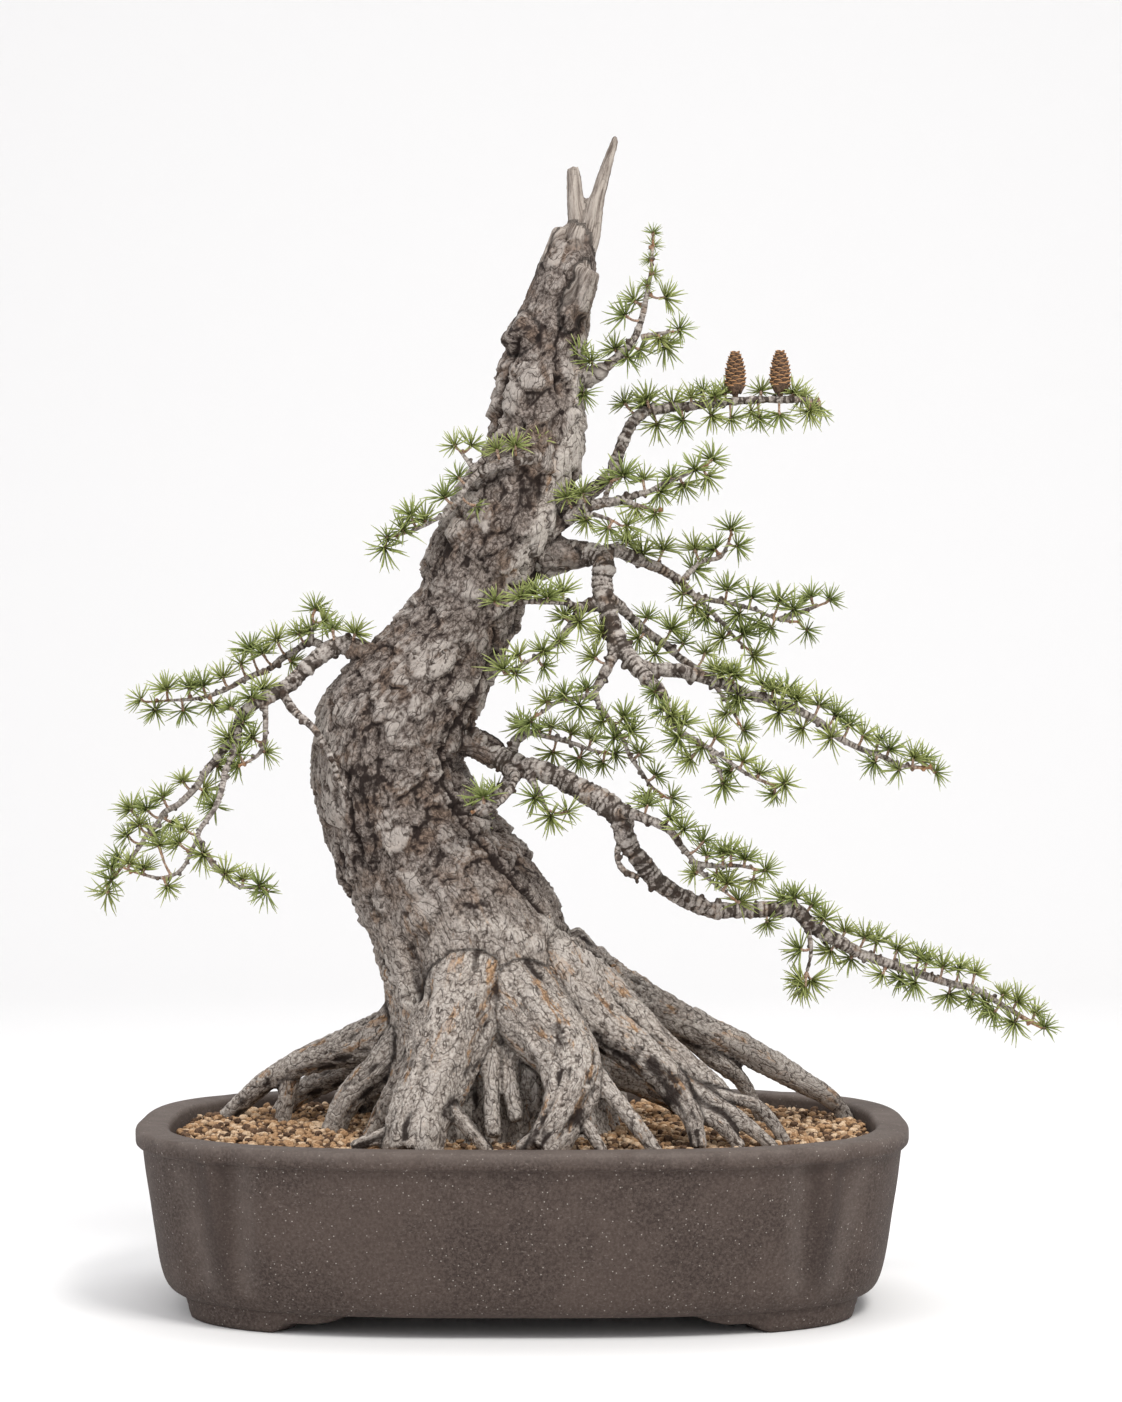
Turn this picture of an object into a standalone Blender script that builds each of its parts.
"""A larch bonsai in a dark stoneware pot, modelled in metres with +Z up.

The design is drawn in millimetres from the middle of the pot's foot plane: X to the right, Y away
from the front, Z up. At the end everything is moved so that the origin is the middle of the whole
object's box, on the surface it stands on.

Trunk, roots and branches are swept along routes of hand-chosen points. A route's point is
(x, y, z, radius). Its x and z are given as they line up from the front, against the plane y = 0,
and in_depth() moves the point along that line of sight to its own depth y.
"""
import math

import bmesh
import bpy
from mathutils import Matrix, Vector

MM = 0.001
GAP = 0.3              # clearance between touching pieces

# ---- pot -------------------------------------------------------------------------------------
POT_LENGTH = 385.0     # over the rim, left to right
POT_DEPTH = 262.0      # over the rim, front to back
POT_HEIGHT = 90.0      # foot to rim
FOOT_HEIGHT = 10.0     # clear height under the pot's body
FLOOR = 8.0            # thickness of the pot's floor
RIM_WIDTH = 17.0       # flat width of the rim
LIP_HEIGHT = 9.0       # height of the lip round the rim
LIP_OVERHANG = 3.0     # how far the lip stands out from the wall
WALL_TUCK = 19.0       # how far the wall draws in from lip to foot
CORNER = 2.9           # exponent of the plan outline: 2 is an ellipse, more is squarer
FOOT_CORNER = 3.3      # the same for the feet
FLUTE_PLACE = 0.71     # where a flute lies, as a share of the half side
FLUTE_WIDTH = 11.0
FLUTE_DEPTH = 4.5
PLAN_POINTS = 60
FAN_FROM = 20          # a wide flat end with more corners than this is closed by a fan
FOOT_THICKNESS = 15.0
DRAIN_RADIUS = 9.0
DRAIN_SPACING = 150.0
SCREEN_SIZE = 30.0     # the mesh laid over a drain hole
SCREEN_THICKNESS = 1.0

# ---- soil and roots --------------------------------------------------------------------------
SOIL_BELOW_RIM = 5.0
ROOT_BALL_SHARE = 0.8   # radius of the buried roots, as a share of the trunk's radius at its foot
ROOT_BALL_DEPTH = 24.0
ROOTS_DRAWN_FOR = (385.0, 262.0)   # the pot length and depth that ROOTS is drawn for

# ---- tree ------------------------------------------------------------------------------------
TREE_SIZE = 1.0        # scales trunk and crown about the trunk's foot
GIRTH = 1.0            # scales the thickness of trunk, roots and branches
SPRAY_RADIUS = 8.5     # half the thickness of a leafy spray: the length of its needles
SPRAY_RING = 6.0       # spacing of a spray's rings
COLLAR = 4.0           # how far the collar of a branch stands clear of the trunk's bark
VOXEL = 1.8            # fineness of the skin grown over trunk and roots
TRUNK_TRIANGLES = 3000
CONE_LENGTH = 22.0
CONE_RADIUS = 5.2

EYE_DISTANCE = 1700.0  # the routes line up from this far in front
EYE_X = 19.0
EYE_Z = 311.5
TRUNK_FOOT = (-12.0, 0.0, 85.0)    # the trunk's middle at the soil, as drawn

TRUNK_LINE = [
    (-12, 0, 78, 60), (-14, 0, 110, 55), (-18, 0, 145, 50), (-27, 0, 179, 48), (-44, 2, 209, 43),
    (-57, 2, 232, 40), (-67, 0, 259, 37), (-66, -2, 279, 36), (-56, -3, 299, 34), (-43, -2, 319, 29),
    (-31, 0, 339, 25), (-19, 0, 369, 27), (-6, 0, 394, 27), (4, 1, 419, 23), (8, 2, 449, 21),
    (12, 2, 474, 19), (18, 2, 499, 16), (25, 2, 526, 12),
]

# Deadwood: the spikes and stubs left where leaders died back.
DEADWOOD = [
    [(24, 2, 516, 7), (27, 2, 534, 5), (26, 2, 549, 4.5), (25, 2, 565, 3.5)],
    [(26, 0, 516, 7), (33, 0, 529, 5.5), (37, 0, 549, 4), (42, 0, 566, 3), (47, 0, 580, 1.8)],
    [(18, -6, 484, 9), (26, -9, 498, 8), (33, -10, 514, 6)],
    [(2, -6, 480, 12), (-6, -8, 486, 9)],
    [(8, 0, 492, 8), (14, 0, 516, 6), (18, 0, 535, 3)],
    [(10, -4, 398, 12), (24, -6, 396, 10)],
]

ROOTS = [
    [(-50, 0, 146, 15), (-70, 2, 131, 12), (-91, 14, 124, 9.5), (-111, 24, 117, 7),
     (-129, 36, 107, 5.5), (-150, 50, 88, 4.5)],
    [(-58, 30, 128, 11), (-88, 48, 114, 8), (-114, 62, 100, 6), (-132, 72, 76, 4)],
    [(-116, 28, 112, 5), (-122, 30, 84, 4)],
    [(-40, -8, 150, 12), (-55, -12, 138, 9), (-69, -13, 119, 8), (-86, -12, 101, 7), (-96, -8, 80, 6)],
    [(-36, -30, 140, 11), (-49, -32, 126, 7), (-59, -32, 111, 6), (-67, -28, 99, 5.5), (-78, -25, 76, 5)],
    [(-26, -30, 160, 24), (-36, -52, 130, 19), (-48, -72, 101, 16), (-53, -84, 84, 15), (-55, -90, 70, 15)],
    [(-52, -84, 84, 6), (-69, -88, 81, 4), (-86, -90, 75, 3)],
    [(-40, -76, 98, 5), (-30, -84, 88, 4), (-16, -88, 72, 3)],
    [(-16, -42, 128, 8), (-16, -60, 112, 4.5), (-15, -74, 80, 4)],
    [(-8, -46, 122, 8), (-7, -56, 110, 5), (-3, -66, 88, 4)],
    [(-9, -28, 156, 22), (11, -50, 134, 18), (24, -66, 114, 15), (21, -80, 94, 12), (8, -92, 72, 8)],
    [(24, -78, 96, 5), (30, -84, 88, 3.5), (40, -90, 72, 3)],
    [(14, -86, 86, 5), (-2, -92, 73, 4)],
    [(22, -44, 124, 9), (33, -60, 117, 5), (42, -72, 104, 4.5), (58, -82, 84, 4), (68, -88, 71, 3)],
    [(16, -18, 170, 16), (35, -36, 140, 13), (57, -43, 122, 10), (71, -50, 110, 9), (78, -56, 100, 7),
     (84, -66, 90, 5), (88, -74, 74, 4)],
    [(76, -54, 102, 6), (88, -60, 93, 4.5), (99, -65, 87, 4), (110, -70, 74, 3)],
    [(72, -48, 112, 6), (84, -50, 105, 5), (96, -56, 98, 4.5), (108, -62, 90, 4), (127, -68, 74, 3)],
    [(86, -50, 104, 4), (104, -47, 100, 3.5), (119, -48, 95, 3.5), (133, -50, 76, 3)],
    [(32, -14, 158, 14), (50, -24, 146, 9), (67, -31, 130, 7), (79, -36, 120, 6), (96, -42, 106, 5),
     (104, -46, 96, 4)],
    [(20, 0, 168, 18), (42, 4, 158, 12), (66, 10, 146, 10), (88, 16, 134, 9), (108, 24, 126, 8),
     (138, 36, 109, 6), (156, 44, 98, 4.5), (165, 48, 84, 3.5)],
    [(80, 16, 134, 6), (97, 18, 119, 5), (110, 21, 108, 4), (122, 26, 84, 3)],
    [(-40, 16, 140, 18), (-62, 40, 118, 13), (-80, 62, 100, 10), (-92, 80, 76, 6)],
    [(-18, 24, 146, 24), (-24, 52, 122, 17), (-26, 76, 102, 12), (-20, 98, 74, 7)],
    [(8, 20, 148, 22), (26, 44, 122, 15), (40, 66, 104, 11), (54, 88, 74, 6)],
    [(34, 30, 116, 9), (58, 42, 108, 7), (80, 52, 96, 6), (98, 60, 74, 4)],
]

# Branches: the first route is the limb that leaves the trunk, the others fork from it.
BRANCHES = {
    "branch_left": [
        [(-66, -8, 313, 6), (-78, -10, 322, 5.2), (-87, -11, 326, 4.7), (-95, -12, 325, 4.5),
         (-103, -13, 320, 4.4), (-109, -15, 314, 4.1), (-116, -17, 307, 3.8),
         (-126, -20, 301, 3.5), (-134, -22, 297, 3.1), (-140, -23, 292, 3), (-144, -24, 283, 2.7),
         (-151, -25, 272, 2.4), (-158, -26, 264, 2.1)],
        [(-98, -12, 322, 3), (-102, -6, 327, 2.2), (-107, -2, 328, 2), (-113, 0, 324, 1.9),
         (-120, 2, 320, 1.8), (-127, 4, 314, 1.6)],
        [(-142, -24, 287, 2.4), (-144, -30, 275, 2), (-149, -36, 263, 1.8)],
        [(-121, -18, 304, 2.5), (-115, -28, 294, 2.2), (-107, -38, 287, 1.9),
         (-100, -43, 278, 1.6), (-95, -45, 268, 1.4), (-92, -46, 259, 1.2), (-88, -47, 253, 1)],
    ],
    "branch_front_left": [
        [(12, -12, 419, 4.6), (5, -22, 420, 3.6), (-4, -27, 419, 3.2), (-14, -28, 416, 2.7),
         (-22, -26, 413, 2.2)],
    ],
    "branch_leader": [
        [(20, -2, 453, 4.4), (30, -4, 459, 3.2), (41, -6, 465, 2.7), (50, -8, 473, 2.3),
         (56, -9, 480, 2), (60, -10, 492, 1.6)],
    ],
    "branch_cones": [
        [(18, 2, 396, 5.2), (30, 3, 401, 4.2), (38, 4, 406, 3.9), (44, 5, 411, 3.6),
         (46, 6, 417, 3.4), (49, 6, 425, 3.2), (53, 7, 435, 3), (59, 7, 442, 2.9), (66, 8, 444, 2.7),
         (84, 8, 446, 2.5), (102, 9, 448, 2.2), (118, 9, 449, 2), (137, 10, 449, 1.8)],
    ],
    "branch_upper_right": [
        [(16, -12, 386, 4.5), (28, -20, 393, 3.3), (38, -24, 397, 2.7), (50, -26, 399, 2.2),
         (58, -27, 402, 1.9)],
    ],
    "branch_middle_right": [
        [(-2, -4, 368, 7.5), (20, -8, 372, 6.6), (33, -12, 372, 6), (40, -16, 368, 5.8),
         (40, -19, 356, 5.4), (41, -22, 348, 5), (44, -24, 338, 4.8), (47, -27, 330, 4.6),
         (52, -31, 322, 4.4), (58, -37, 314, 3.9), (66, -44, 306, 3.3), (72, -50, 298, 2.9)],
        [(50, -30, 325, 3.6), (58, -29, 316, 3.8), (65, -28, 314, 3.7), (74, -27, 314, 3.6),
         (88, -26, 311, 3.4), (100, -24, 307, 3), (112, -22, 302, 2.7), (124, -20, 299, 2.4),
         (135, -18, 295, 2.1)],
        [(40, -18, 352, 4), (48, -10, 346, 2.9), (54, -6, 340, 2.6), (63, -2, 332, 2.4),
         (72, 2, 326, 2.2), (80, 4, 319, 2), (88, 6, 314, 1.8)],
        [(40, -18, 350, 3.6), (29, -28, 344, 2.6), (24, -34, 336, 2.2), (17, -40, 328, 1.9)],
        [(44, -24, 338, 4), (45, -30, 322, 3), (40, -33, 311, 2.6), (36, -34, 304, 2.2)],
        [(38, -12, 371, 4.4), (47, -4, 374, 3.6), (55, 0, 370, 3.2), (66, 6, 366, 2.8),
         (73, 10, 362, 2.5), (79, 13, 358, 2.2), (85, 16, 351, 2)],
    ],
    "branch_lower_right": [
        [(-48, -8, 281, 7), (-22, -14, 277, 6.2), (-12, -18, 270, 6), (-2, -22, 266, 5.6),
         (8, -26, 264, 5.4), (19, -30, 260, 5.4), (29, -34, 254, 5.6), (40, -38, 248, 6),
         (49, -40, 240, 6), (51, -40, 231, 5.2), (54, -39, 225, 4.8), (60, -37, 217, 4.8),
         (66, -35, 209, 4.6), (76, -32, 202, 4.5), (84, -30, 198, 4.4), (94, -28, 194, 4.2),
         (106, -25, 194, 4), (118, -22, 194, 4), (128, -19, 194, 4.2), (137, -16, 193, 4),
         (146, -14, 185, 3.8), (158, -12, 178, 3.3), (168, -10, 172, 2.8)],
        [(46, -42, 243, 4.4), (54, -50, 242, 2.8), (60, -54, 240, 2.5), (66, -56, 238, 2.3),
         (74, -58, 233, 2), (79, -58, 226, 1.9)],
        [(-8, -22, 266, 4), (-4, -34, 260, 2.2), (-8, -44, 252, 1.9)],
        [(-6, -18, 269, 4), (-4, -14, 278, 2.6), (3, -13, 283, 2.2)],
        [(-3, -22, 264, 4.4), (-9, -23, 256, 4), (-14, -24, 250, 3.8)],
    ],
    "branch_back": [
        [(-58, 18, 298, 6), (-56, 40, 303, 5), (-54, 62, 308, 3.8), (-50, 82, 312, 2.8)],
    ],
    "branch_back_high": [
        [(0, 12, 392, 5), (1, 32, 397, 3.8), (2, 50, 402, 3), (4, 66, 408, 2.3)],
    ],
}

# Leafy sprays: the twig ends that carry the needles. The first route starts where the bare wood of
# its branch ends, which is the branch and the route named in the key's entry.
SPRAYS = {
    "spray_left_top": ("branch_left", 1, [
        [(-138, 5, 310), (-149, 6, 304), (-161, 8, 300), (-172, 9, 299), (-187, 10, 298)],
    ]),
    "spray_left_end": ("branch_left", 0, [
        [(-164, -26, 255), (-172, -26, 247), (-183, -26, 237), (-191, -26, 226), (-201, -26, 215)],
    ]),
    "spray_left_hanging": ("branch_left", 2, [
        [(-151, -42, 253), (-154, -46, 245), (-161, -48, 235), (-166, -50, 226), (-172, -50, 214),
         (-184, -50, 211), (-194, -50, 212)],
        [(-163, -49, 230), (-155, -54, 217), (-147, -58, 209), (-135, -60, 205), (-128, -60, 204)],
    ]),
    "spray_front_left": ("branch_front_left", 0, [
        [(-30, -28, 404), (-37, -26, 395), (-45, -24, 389), (-54, -22, 384), (-66, -20, 380)],
    ]),
    "spray_leader": ("branch_leader", 0, [
        [(62, -10, 502), (64, -10, 514), (65, -10, 526)],
    ]),
    "spray_upper_right": ("branch_upper_right", 0, [
        [(66, -28, 405), (76, -28, 409), (84, -28, 413), (92, -28, 417)],
    ]),
    "spray_middle_front": ("branch_middle_right", 0, [
        [(75, -56, 288), (86, -64, 279), (99, -70, 271), (112, -74, 262), (128, -76, 257)],
    ]),
    "spray_middle_right": ("branch_middle_right", 1, [
        [(148, -16, 288), (159, -14, 280), (170, -12, 274), (181, -10, 270), (190, -10, 266),
         (202, -10, 265)],
    ]),
    "spray_middle_back": ("branch_middle_right", 2, [
        [(96, 9, 306), (102, 10, 298), (109, 10, 288)],
    ]),
    "spray_middle_inner": ("branch_middle_right", 3, [
        [(7, -44, 320), (0, -45, 316), (-10, -45, 311)],
    ]),
    "spray_middle_low": ("branch_middle_right", 4, [
        [(40, -36, 295), (46, -37, 284), (54, -36, 270), (62, -36, 258), (72, -36, 250)],
        [(40, -36, 295), (28, -36, 300), (17, -37, 298), (8, -38, 291)],
    ]),
    "spray_middle_high": ("branch_middle_right", 5, [
        [(94, 19, 347), (104, 22, 346), (116, 24, 343), (128, 26, 340), (140, 27, 340), (150, 28, 345)],
        [(94, 19, 347), (100, 24, 337), (107, 28, 329), (114, 30, 323)],
    ]),
    "spray_lower_tip": ("branch_lower_right", 0, [
        [(180, -8, 168), (192, -6, 164), (204, -5, 160), (214, -3, 157), (224, -2, 155),
         (232, -1, 151), (242, 0, 145), (256, 0, 137)],
    ]),
    "spray_lower_front": ("branch_lower_right", 1, [
        [(84, -58, 220), (90, -58, 213), (97, -58, 208), (107, -56, 203)],
        [(86, -58, 217), (97, -60, 217), (108, -62, 216), (118, -62, 214)],
    ]),
    "spray_trunk_front": ("branch_lower_right", 2, [
        [(-16, -50, 246), (-26, -52, 242)],
    ]),
    "spray_top_of_fork": ("branch_lower_right", 3, [
        [(15, -15, 280), (26, -15, 277), (40, -15, 273)],
    ]),
    "spray_cones_tip": ("branch_cones", 0, [
        [(148, 10, 449), (154, 10, 448)],
    ]),
    "spray_back": ("branch_back", 0, [
        [(-48, 96, 314), (-44, 110, 316), (-40, 124, 320)],
        [(-50, 92, 313), (-60, 106, 312), (-64, 118, 312)],
    ]),
    "spray_back_high": ("branch_back_high", 0, [
        [(4, 76, 411), (2, 88, 415), (-4, 98, 420)],
    ]),
}

# Each cone stands on the cone branch, this far along it from left to right.
CONES = {"cone_left": 107, "cone_right": 130}

COLOURS = {
    "pot": ((0.10, 0.075, 0.062), 0.72), "soil": ((0.42, 0.26, 0.14), 0.95),
    "screen": ((0.03, 0.03, 0.03), 0.6), "trunk": ((0.30, 0.25, 0.22), 0.9),
    "branch": ((0.22, 0.18, 0.16), 0.9), "spray": ((0.16, 0.27, 0.08), 0.7),
    "cone": ((0.20, 0.11, 0.06), 0.8),
}


def clear_scene():
    for thing in list(bpy.data.objects):
        bpy.data.objects.remove(thing)


def material(kind):
    made = bpy.data.materials.get(kind)
    if made is None:
        colour, roughness = COLOURS[kind]
        made = bpy.data.materials.new(kind)
        made.use_nodes = True
        shader = made.node_tree.nodes["Principled BSDF"]
        shader.inputs["Base Color"].default_value = (*colour, 1.0)
        shader.inputs["Roughness"].default_value = roughness
        shader.inputs["Metallic"].default_value = 0.0
    return made


def new_object(name, mesh, kind):
    thing = bpy.data.objects.new(name, mesh)
    mesh.materials.clear()
    mesh.materials.append(material(kind))
    bpy.context.collection.objects.link(thing)
    return thing


def mesh_of(body, name):
    """Finish a bmesh: faces turned outwards, written to a new mesh."""
    bmesh.ops.recalc_face_normals(body, faces=body.faces)
    mesh = bpy.data.meshes.new(name)
    body.to_mesh(mesh)
    body.free()
    return mesh


def evaluated(thing):
    """Replace an object's mesh by what its modifiers make of it."""
    graph = bpy.context.evaluated_depsgraph_get()
    mesh = bpy.data.meshes.new_from_object(thing.evaluated_get(graph))
    thing.modifiers.clear()
    thing.data = mesh
    return thing


def combine(thing, others, operation):
    """Unite an object with others, or cut the others out of it; the others are used up."""
    for other in others:
        cut = thing.modifiers.new(operation.title(), "BOOLEAN")
        cut.operation = operation
        cut.solver = "EXACT"
        cut.object = other
    evaluated(thing)
    for other in others:
        bpy.data.objects.remove(other)
    return thing


def loft(rings, name):
    """Join closed rings of points into one body, corner to corner, and close both ends."""
    body = bmesh.new()
    loops = [[body.verts.new(Vector(point) * MM) for point in ring] for ring in rings]
    ends = [body.faces.new(loops[0]), body.faces.new(loops[-1])]
    if len(rings[0]) > FAN_FROM:
        bmesh.ops.poke(body, faces=ends)
    for low, high in zip(loops, loops[1:]):
        for i in range(len(low)):
            k = (i + 1) % len(low)
            body.faces.new((low[i], low[k], high[k], high[i]))
    return mesh_of(body, name)


def turned(profile, centre, sides, name):
    """A body turned from (radius, height) pairs about an upright axis."""
    rings = []
    for radius, height in profile:
        angles = [2 * math.pi * i / sides for i in range(sides)]
        rings.append([(centre[0] + radius * math.cos(a), centre[1] + radius * math.sin(a),
                       centre[2] + height) for a in angles])
    return loft(rings, name)


# ---- routes ----------------------------------------------------------------------------------

def in_depth(x, y, z):
    """Place a point drawn against the plane y = 0 at its own depth, along the line of sight."""
    away = 1 + y / EYE_DISTANCE
    point = Vector((EYE_X + (x - EYE_X) * away, y, EYE_Z + (z - EYE_Z) * away))
    foot = Vector(TRUNK_FOOT)
    lift = Vector((0, 0, soil_top() - foot.z))
    return foot + (point - foot) * TREE_SIZE + lift


def smooth(points, steps=8):
    """Read a smooth curve through (position, radius) pairs."""
    samples = []
    for i in range(len(points) - 1):
        four = [points[max(i - 1, 0)], points[i], points[i + 1], points[min(i + 2, len(points) - 1)]]
        for step in range(steps):
            t = step / steps
            weights = (0.5 * (-t + 2 * t ** 2 - t ** 3), 0.5 * (2 - 5 * t ** 2 + 3 * t ** 3),
                       0.5 * (t + 4 * t ** 2 - 3 * t ** 3), 0.5 * (-t ** 2 + t ** 3))
            place = sum((w * p for w, (p, r) in zip(weights, four)), Vector())
            samples.append((place, sum(w * r for w, (p, r) in zip(weights, four))))
    samples.append(points[-1])
    return samples


def wood_route(points):
    return smooth([(in_depth(x, y, z), r * GIRTH * TREE_SIZE) for x, y, z, r in points])


def held_in_pot(points):
    """Draw a root in towards the trunk where the pot is small for the tree."""
    foot_x, foot_y, _ = TRUNK_FOOT
    room_x = min(1.0, POT_LENGTH / ROOTS_DRAWN_FOR[0] / TREE_SIZE)
    room_y = min(1.0, POT_DEPTH / ROOTS_DRAWN_FOR[1] / TREE_SIZE)
    return [(foot_x + (x - foot_x) * room_x, foot_y + (y - foot_y) * room_y, z, r)
            for x, y, z, r in points]


def lengths(samples):
    """Distance along a route at each of its samples."""
    total = [0.0]
    for (here, _), (there, _) in zip(samples, samples[1:]):
        total.append(total[-1] + (there - here).length)
    return total


def at_length(samples, wanted):
    """Position, radius and direction at a distance along a route."""
    total = lengths(samples)
    i = 1
    while i < len(samples) - 1 and total[i] < wanted:
        i += 1
    (a, ra), (b, rb) = samples[i - 1], samples[i]
    t = (wanted - total[i - 1]) / (total[i] - total[i - 1])
    return (a + (b - a) * t, ra + (rb - ra) * min(t, 1.0), (b - a).normalized())


def stretch(samples, start, end, spacing):
    """Rings at even distances from start to end along a route, which may run on past its end."""
    count = max(2, round((end - start) / spacing)) + 1
    return [at_length(samples, start + (end - start) * i / (count - 1)) for i in range(count)]


def swept(samples, sides, name):
    """A tube through the rings, with flat ends square to the route."""
    rings = []
    across = None
    for place, radius, along in samples:
        if across is None:
            across = along.orthogonal().normalized()
        across = (across - along * across.dot(along)).normalized()
        other = along.cross(across)
        ring = []
        for k in range(sides):
            angle = 2 * math.pi * k / sides
            ring.append(place + radius * (math.cos(angle) * across + math.sin(angle) * other))
        rings.append(ring)
    return loft(rings, name)


def tube(samples, name, sides=8, clearance=0.0, start=0.0):
    """A limb along a route, from a distance along it; a clearance makes it fatter and longer."""
    total = lengths(samples)[-1]
    thickest = max(radius for _, radius in samples)
    rings = stretch(samples, start, total, max(5.0, 0.9 * thickest))
    if clearance:
        rings = [(place, radius + clearance, along) for place, radius, along in rings]
        rings.append((rings[-1][0] + rings[-1][2] * clearance, rings[-1][1], rings[-1][2]))
    return swept(rings, sides, name)


# ---- pot and soil ----------------------------------------------------------------------------

def power(value, exponent):
    return math.copysign(abs(value) ** exponent, value)


def plan_point(angle, inset, height, flute, corner=CORNER):
    """A point on the pot's plan outline: a squared ellipse with a shallow flute beside each corner."""
    length = POT_LENGTH / 2 - inset
    depth = POT_DEPTH / 2 - inset
    x = length * power(math.cos(angle), 2 / corner)
    y = depth * power(math.sin(angle), 2 / corner)
    beside_x = math.exp(-((abs(x) - FLUTE_PLACE * length) / FLUTE_WIDTH) ** 2)
    beside_y = math.exp(-((abs(y) - FLUTE_PLACE * depth) / FLUTE_WIDTH) ** 2)
    hollow = FLUTE_DEPTH * flute
    if abs(y) > FLUTE_PLACE * depth * 1.08:
        y -= math.copysign(hollow * beside_x, y)
    if abs(x) > FLUTE_PLACE * length * 1.08:
        x -= math.copysign(hollow * beside_y, x)
    return (x, y, height)


def plan_ring(inset, height, flute=0.0):
    angles = [2 * math.pi * (i + 0.5) / PLAN_POINTS for i in range(PLAN_POINTS)]
    return [plan_point(angle, inset, height, flute) for angle in angles]


def lip_underside():
    return POT_HEIGHT - LIP_HEIGHT


def wall_inset(down):
    """How far the outer wall lies inside the rim; down runs from 0 at the lip to 1 at the foot."""
    tuck = 0.6 * down ** 1.2 + 0.4 * (1 - math.sqrt(max(0.0, 1 - down ** 14)))
    return LIP_OVERHANG + WALL_TUCK * tuck


def inner_levels(clearance):
    """Rings of the inner wall from the rim down to the floor, or of the soil that fits it."""
    floor = FOOT_HEIGHT + FLOOR
    tall = POT_HEIGHT - floor
    shape = [(0.98, 0.0), (0.4, 3.0), (0.14, 7.0), (0.04, 13.0), (0.0, 20.0)]
    return [(RIM_WIDTH + out + clearance, floor + tall * up + (clearance if up == 0.0 else 0.0))
            for up, out in shape]


def foot_ring(angle, bottom):
    """One cross-section of a foot, from its outer top edge round to its inner top edge."""
    outer = wall_inset(1.0) + 1.0
    top = FOOT_HEIGHT + FLOOR * 0.7
    section = [(outer, top), (outer + 1.5, min(bottom + 3.0, FOOT_HEIGHT - 0.4)),
               (outer + 3.5, bottom), (outer + FOOT_THICKNESS - 2.0, bottom),
               (outer + FOOT_THICKNESS, bottom + 2.0), (outer + FOOT_THICKNESS, top)]
    return [plan_point(angle, inset, height, 0.0, FOOT_CORNER) for inset, height in section]


def foot(quarter):
    """A bracket foot under one corner: flat in the middle, with a step at each end."""
    steps = [(-1.0, 0.9), (-0.94, 0.62), (-0.88, 0.5), (-0.82, 0.42), (-0.76, 0.12), (-0.7, 0.0),
             (-0.46, 0.0), (-0.22, 0.0), (0.02, 0.0), (0.24, 0.0), (0.44, 0.0),
             (0.5, 0.12), (0.58, 0.42), (0.66, 0.5), (0.8, 0.5), (0.9, 0.62), (1.0, 0.9)]
    middle, reach = math.radians(42), math.radians(29)
    rings = []
    for along, raised in steps:
        angle = middle + reach * along
        if quarter in (1, 3):
            angle = math.pi - angle
        if quarter in (2, 3):
            angle = -angle
        rings.append(foot_ring(angle, FOOT_HEIGHT * raised))
    return new_object("foot", loft(rings, "foot"), "pot")


def make_pot():
    lip = lip_underside()
    rings = [plan_ring(wall_inset(1.0) + FOOT_THICKNESS, FOOT_HEIGHT + 0.5)]
    for down in (1.0, 0.97, 0.9, 0.8, 0.65, 0.45, 0.2, 0.0):
        height = lip - (lip - FOOT_HEIGHT) * down
        rings.append(plan_ring(wall_inset(down), height, 1.0 - down ** 4))
    rings.append(plan_ring(0.8, lip + 0.8, 0.7))
    rings.append(plan_ring(0.0, lip + 2.2, 0.7))
    rings.append(plan_ring(0.0, POT_HEIGHT - 2.2, 0.7))
    rings.append(plan_ring(0.8, POT_HEIGHT - 0.6, 0.6))
    rings.append(plan_ring(2.5, POT_HEIGHT, 0.6))
    rings.append(plan_ring(RIM_WIDTH - 2.0, POT_HEIGHT))
    rings += [plan_ring(inset, height) for inset, height in inner_levels(0.0)]
    pot = new_object("pot", loft(rings, "pot"), "pot")
    drains = []
    for side in (-1, 1):
        profile = [(DRAIN_RADIUS, 0.0), (DRAIN_RADIUS, 3 * FLOOR)]
        centre = (side * DRAIN_SPACING / 2, 0, FOOT_HEIGHT - FLOOR)
        drains.append(new_object("drain", turned(profile, centre, 24, "drain"), "pot"))
    combine(pot, drains, "DIFFERENCE")
    combine(pot, [foot(quarter) for quarter in range(4)], "UNION")


def make_screen(name, side):
    """A square of mesh that keeps the soil from running out of a drain hole."""
    cells = 7
    body = bmesh.new()
    bmesh.ops.create_grid(body, x_segments=cells, y_segments=cells, size=SCREEN_SIZE / 2 * MM)
    body.faces.ensure_lookup_table()
    holes = [body.faces[row * cells + column] for row in range(1, cells, 2)
             for column in range(1, cells, 2)]
    bmesh.ops.delete(body, geom=holes, context="FACES_ONLY")
    bottom = FOOT_HEIGHT + FLOOR + GAP
    top = bmesh.ops.extrude_face_region(body, geom=body.faces[:])
    raised = [v for v in top["geom"] if isinstance(v, bmesh.types.BMVert)]
    bmesh.ops.translate(body, verts=raised, vec=(0, 0, SCREEN_THICKNESS * MM))
    bmesh.ops.translate(body, verts=body.verts, vec=(side * DRAIN_SPACING / 2 * MM, 0, bottom * MM))
    new_object(name, mesh_of(body, name), "screen")


def soil_top():
    return POT_HEIGHT - SOIL_BELOW_RIM


def root_ball_radius():
    return TRUNK_LINE[0][3] * ROOT_BALL_SHARE * GIRTH * TREE_SIZE


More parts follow.
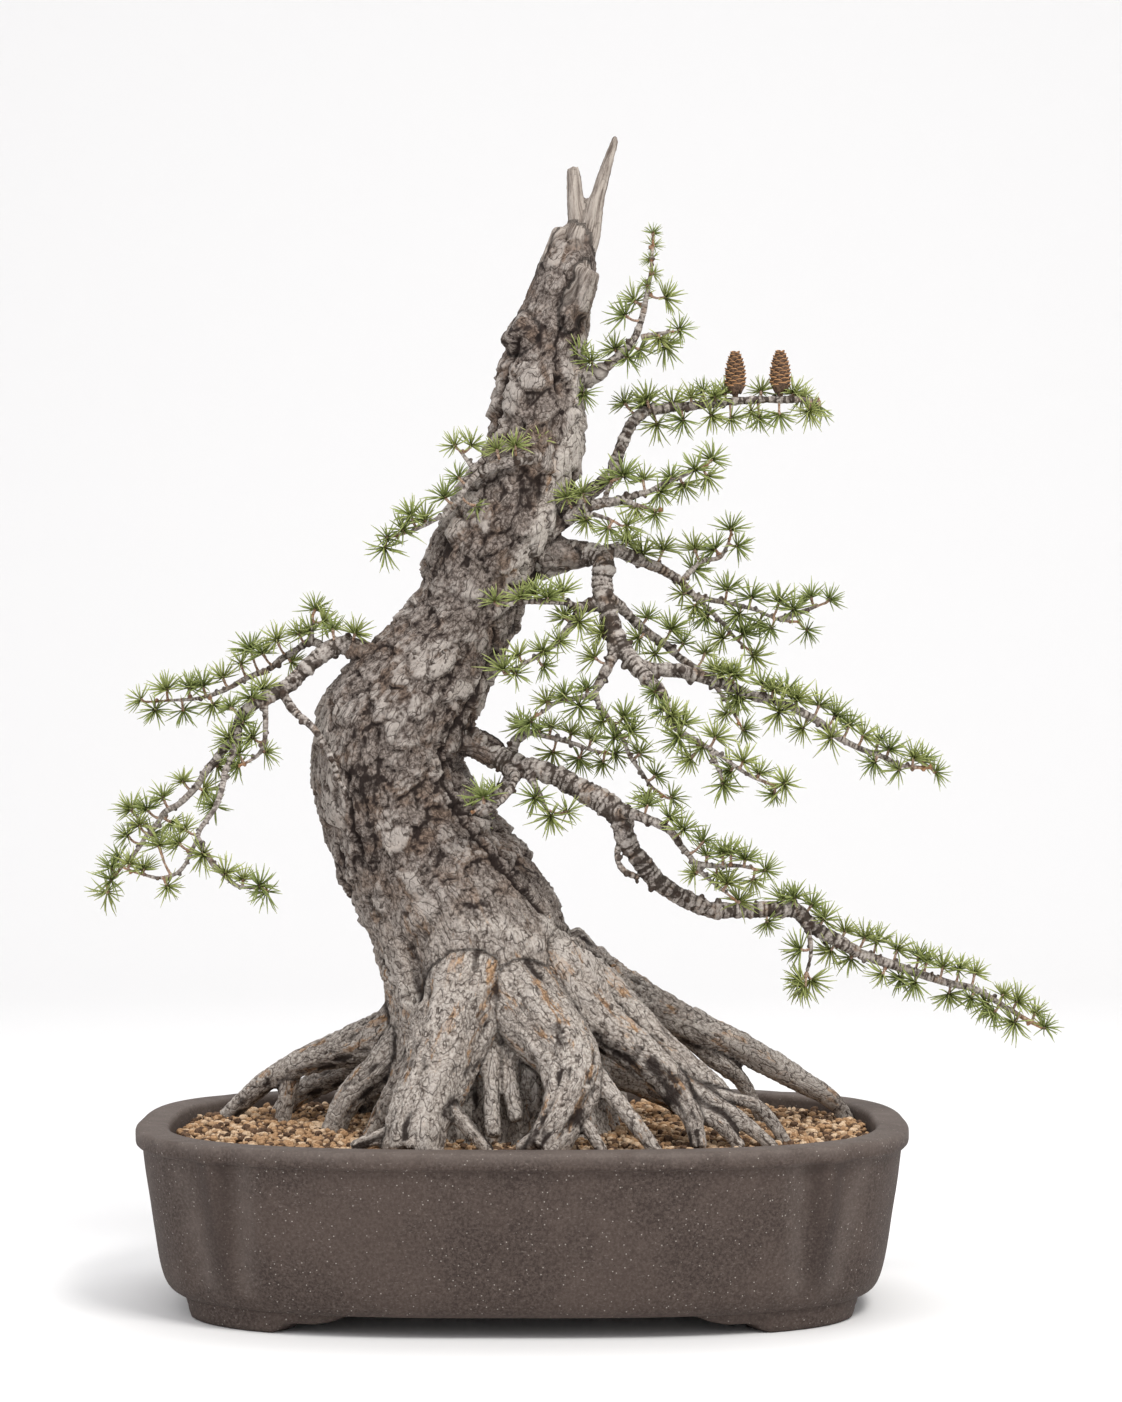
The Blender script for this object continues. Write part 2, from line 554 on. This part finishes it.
def root_ball(clearance, top):
    """The buried roots, or the pit in the soil that they sit in."""
    radius = root_ball_radius() + clearance
    bottom = -ROOT_BALL_DEPTH - clearance
    profile = [(radius * 0.75, bottom), (radius * 0.93, bottom * 0.8), (radius, bottom * 0.4), (radius, top)]
    x, y, _ = TRUNK_FOOT
    return new_object("root_ball", turned(profile, (x, y, soil_top()), 28, "root_ball"), "trunk")


def make_soil():
    top = soil_top()
    levels = [level for level in reversed(inner_levels(GAP)) if level[1] < top - 2]
    rings = [plan_ring(inset, height) for inset, height in levels]
    rings.append(plan_ring(RIM_WIDTH + 0.3 + GAP, top))
    soil = new_object("soil", loft(rings, "soil"), "soil")
    cuts = [root_ball(GAP, 10.0)]
    for side in (-1, 1):
        radius = SCREEN_SIZE / 2 * math.sqrt(2) + GAP
        height = SCREEN_THICKNESS + 2 * GAP
        centre = (side * DRAIN_SPACING / 2, 0, FOOT_HEIGHT + FLOOR)
        cuts.append(new_object("recess", turned([(radius, -2.0), (radius, height)], centre, 24, "recess"), "soil"))
    combine(soil, cuts, "DIFFERENCE")


# ---- tree ------------------------------------------------------------------------------------

def clear_of_trunk(samples):
    """Distance along a branch at which it has left the trunk behind, just inside one short step
    of its route, so that the collar's end and the branch's start are square to the same step."""
    trunk = wood_route(TRUNK_LINE)
    total = lengths(samples)
    for i, (place, radius) in enumerate(samples):
        if min((place - centre).length - girth for centre, girth in trunk) > COLLAR + radius:
            return total[i] + 0.1 * (total[i + 1] - total[i])
    return total[-1] - GAP - 1.5


def make_trunk():
    """Trunk, roots and deadwood grown into one skin, with the branch collars and the root ball."""
    body = bmesh.new()
    for points in [TRUNK_LINE] + [held_in_pot(root) for root in ROOTS] + DEADWOOD:
        part = tube(wood_route(points), "limb", 14 if points is TRUNK_LINE else 10)
        body.from_mesh(part)
        bpy.data.meshes.remove(part)
    trunk = new_object("trunk", mesh_of(body, "trunk"), "trunk")
    skin = trunk.modifiers.new("Skin over", "REMESH")
    skin.mode = "VOXEL"
    skin.voxel_size = VOXEL * MM
    evaluated(trunk)
    thin = trunk.modifiers.new("Thin out", "DECIMATE")
    thin.ratio = min(1.0, TRUNK_TRIANGLES / (2 * len(trunk.data.polygons)))
    evaluated(trunk)
    under = bmesh.new()
    bmesh.ops.create_cube(under, size=1.0)
    bmesh.ops.scale(under, verts=under.verts, vec=(0.8, 0.8, 0.2))
    bmesh.ops.translate(under, verts=under.verts, vec=(0, 0, (soil_top() + GAP) * MM - 0.1))
    combine(trunk, [new_object("under", mesh_of(under, "under"), "soil")], "DIFFERENCE")
    collars = [root_ball(0.0, 8.0)]
    for name, routes in BRANCHES.items():
        samples = wood_route(routes[0])
        collar = stretch(samples, 0.0, clear_of_trunk(samples), 6.0)
        collars.append(new_object("collar", swept(collar, 8, name), "trunk"))
    combine(trunk, collars, "UNION")


def fork_route(points, limb, start):
    """A fork's route. Its root moves out along the limb if the collar would have grown over it."""
    samples = wood_route(points)
    total = lengths(limb)
    nearest = min(range(len(limb)), key=lambda i: (limb[i][0] - samples[0][0]).length)
    if total[nearest] > start:
        return samples
    root, _, along = at_length(limb, start + 1.5 * samples[0][1])
    ahead = [sample for sample in samples if (sample[0] - root).dot(along) > 0]
    return [(root, samples[0][1])] + ahead


def limb_tubes(routes, clearance=0.0):
    """The tubes that make up a branch, from its cut face outside the collar to its twigs."""
    limb = wood_route(routes[0])
    start = clear_of_trunk(limb) + GAP
    tubes = [tube(limb, "limb", 8, clearance, start)]
    forks = [fork_route(points, limb, start) for points in routes[1:]]
    return tubes + [tube(samples, "fork", 6, clearance) for samples in forks]


def make_branch(name, routes):
    tubes = limb_tubes(routes)
    branch = new_object(name, tubes[0], "branch")
    forks = [new_object("fork", mesh, "branch") for mesh in tubes[1:]]
    if forks:
        combine(branch, forks, "UNION")


def spray_tube(lead, points, name):
    """A leafy twig as a fat round-ended tube; lead is the twig's own wood where it starts."""
    reach = SPRAY_RADIUS * TREE_SIZE
    route = smooth(lead + [(in_depth(*point), reach) for point in points])
    rings = stretch(route, 0.0, lengths(route)[-1], SPRAY_RING)
    tip, _, onward = rings[-1]
    rings.append((tip + onward * reach * 0.6, reach * 0.75, onward))
    rings.append((tip + onward * reach * 0.9, reach * 0.3, onward))
    return swept(rings, 8, name)


def make_spray(name, branch, route, lines):
    end, radius = wood_route(BRANCHES[branch][route])[-1]
    spray = new_object(name, spray_tube([(end, radius * 1.2)], lines[0], name), "spray")
    forks = [new_object("fork", spray_tube([], points, "fork"), "spray") for points in lines[1:]]
    if forks:
        combine(spray, forks, "UNION")
    wood = [new_object("wood", mesh, "branch") for mesh in limb_tubes(BRANCHES[branch], GAP)]
    combine(spray, wood, "DIFFERENCE")


def make_cone(name, wanted_x):
    """An upright cone on the cone branch: a short stalk, a full belly and a blunt tip."""
    branch = wood_route(BRANCHES["branch_cones"][0])
    place, radius = min(branch, key=lambda sample: abs(sample[0].x - wanted_x))
    belly = [(0.3, 0.0), (0.3, 0.1), (0.75, 0.16), (1.0, 0.32), (1.0, 0.55), (0.8, 0.78), (0.4, 0.95),
             (0.15, 1.0)]
    profile = [(CONE_RADIUS * out, CONE_LENGTH * up) for out, up in belly]
    new_object(name, turned(profile, place + Vector((0, 0, radius + GAP)), 12, name), "cone")


def put_origin_under_middle():
    """Move every mesh so that the origin is under the middle of the whole object's box."""
    corners = [v.co for thing in bpy.data.objects for v in thing.data.vertices]
    low = [min(co[axis] for co in corners) for axis in range(3)]
    high = [max(co[axis] for co in corners) for axis in range(3)]
    shift = Vector((-(low[0] + high[0]) / 2, -(low[1] + high[1]) / 2, -low[2]))
    for thing in bpy.data.objects:
        thing.data.transform(Matrix.Translation(shift))
    return shift


def main():
    clear_scene()
    make_pot()
    make_screen("drain_screen_left", -1)
    make_screen("drain_screen_right", 1)
    make_soil()
    make_trunk()
    for name, routes in BRANCHES.items():
        make_branch(name, routes)
    for name, (branch, route, lines) in SPRAYS.items():
        make_spray(name, branch, route, lines)
    for name, along in CONES.items():
        make_cone(name, along)
    shift = put_origin_under_middle()
    print("the pot's middle lies at", [round(value, 5) for value in shift])


main()
